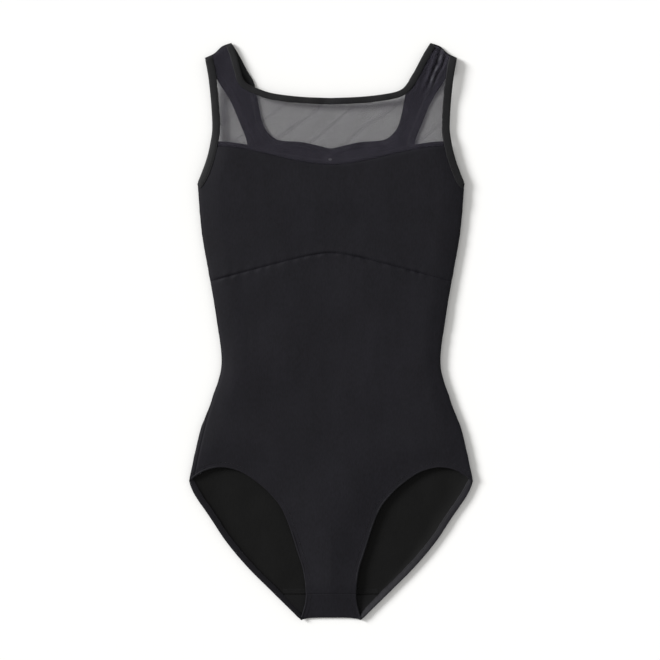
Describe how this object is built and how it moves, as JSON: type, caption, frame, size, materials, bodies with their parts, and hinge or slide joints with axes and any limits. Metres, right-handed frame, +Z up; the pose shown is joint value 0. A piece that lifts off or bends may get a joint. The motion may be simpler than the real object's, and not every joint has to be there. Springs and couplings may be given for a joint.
{
  "type": "gymnastics leotard",
  "caption": "Sleeveless stretch leotard with a sheer mesh yoke, a scooped back and bound neck and armholes, lying flat on its back.",
  "frame": {"origin": "under the middle of the garment's box, on the surface that it lies on", "axes": "+Z up through the front, +Y from the crotch to the shoulders, +X to the wearer's left; the garment lies on its back"},
  "size_m": [0.341, 0.693, 0.0128],
  "materials": {
    "knit": "matte stretch knit with a faint sheen",
    "lining": "matte fine knit",
    "mesh": "sheer stretch power mesh",
    "binding": "matte folded knit strip",
    "elastic": "matte braided elastic",
    "thread": "matte overlocked thread",
    "label": "smooth woven tape"
  },
  "bodies": {
    "root": {"front_body": "knit", "front_bodice": "knit", "front_bodice_lining": "lining", "front_yoke_mesh": "mesh", "back_body": "knit", "gusset": "knit", "crotch_lining": "lining", "neck_binding": "binding", "left_armhole_binding": "binding", "right_armhole_binding": "binding", "left_leg_elastic": "elastic", "right_leg_elastic": "elastic", "sweetheart_overlock": "thread", "underbust_overlock": "thread", "front_crotch_overlock": "thread", "back_crotch_overlock": "thread", "left_side_overlock": "thread", "right_side_overlock": "thread", "left_shoulder_overlock": "thread", "right_shoulder_overlock": "thread", "care_label": "label"}
  },
  "joints": []
}
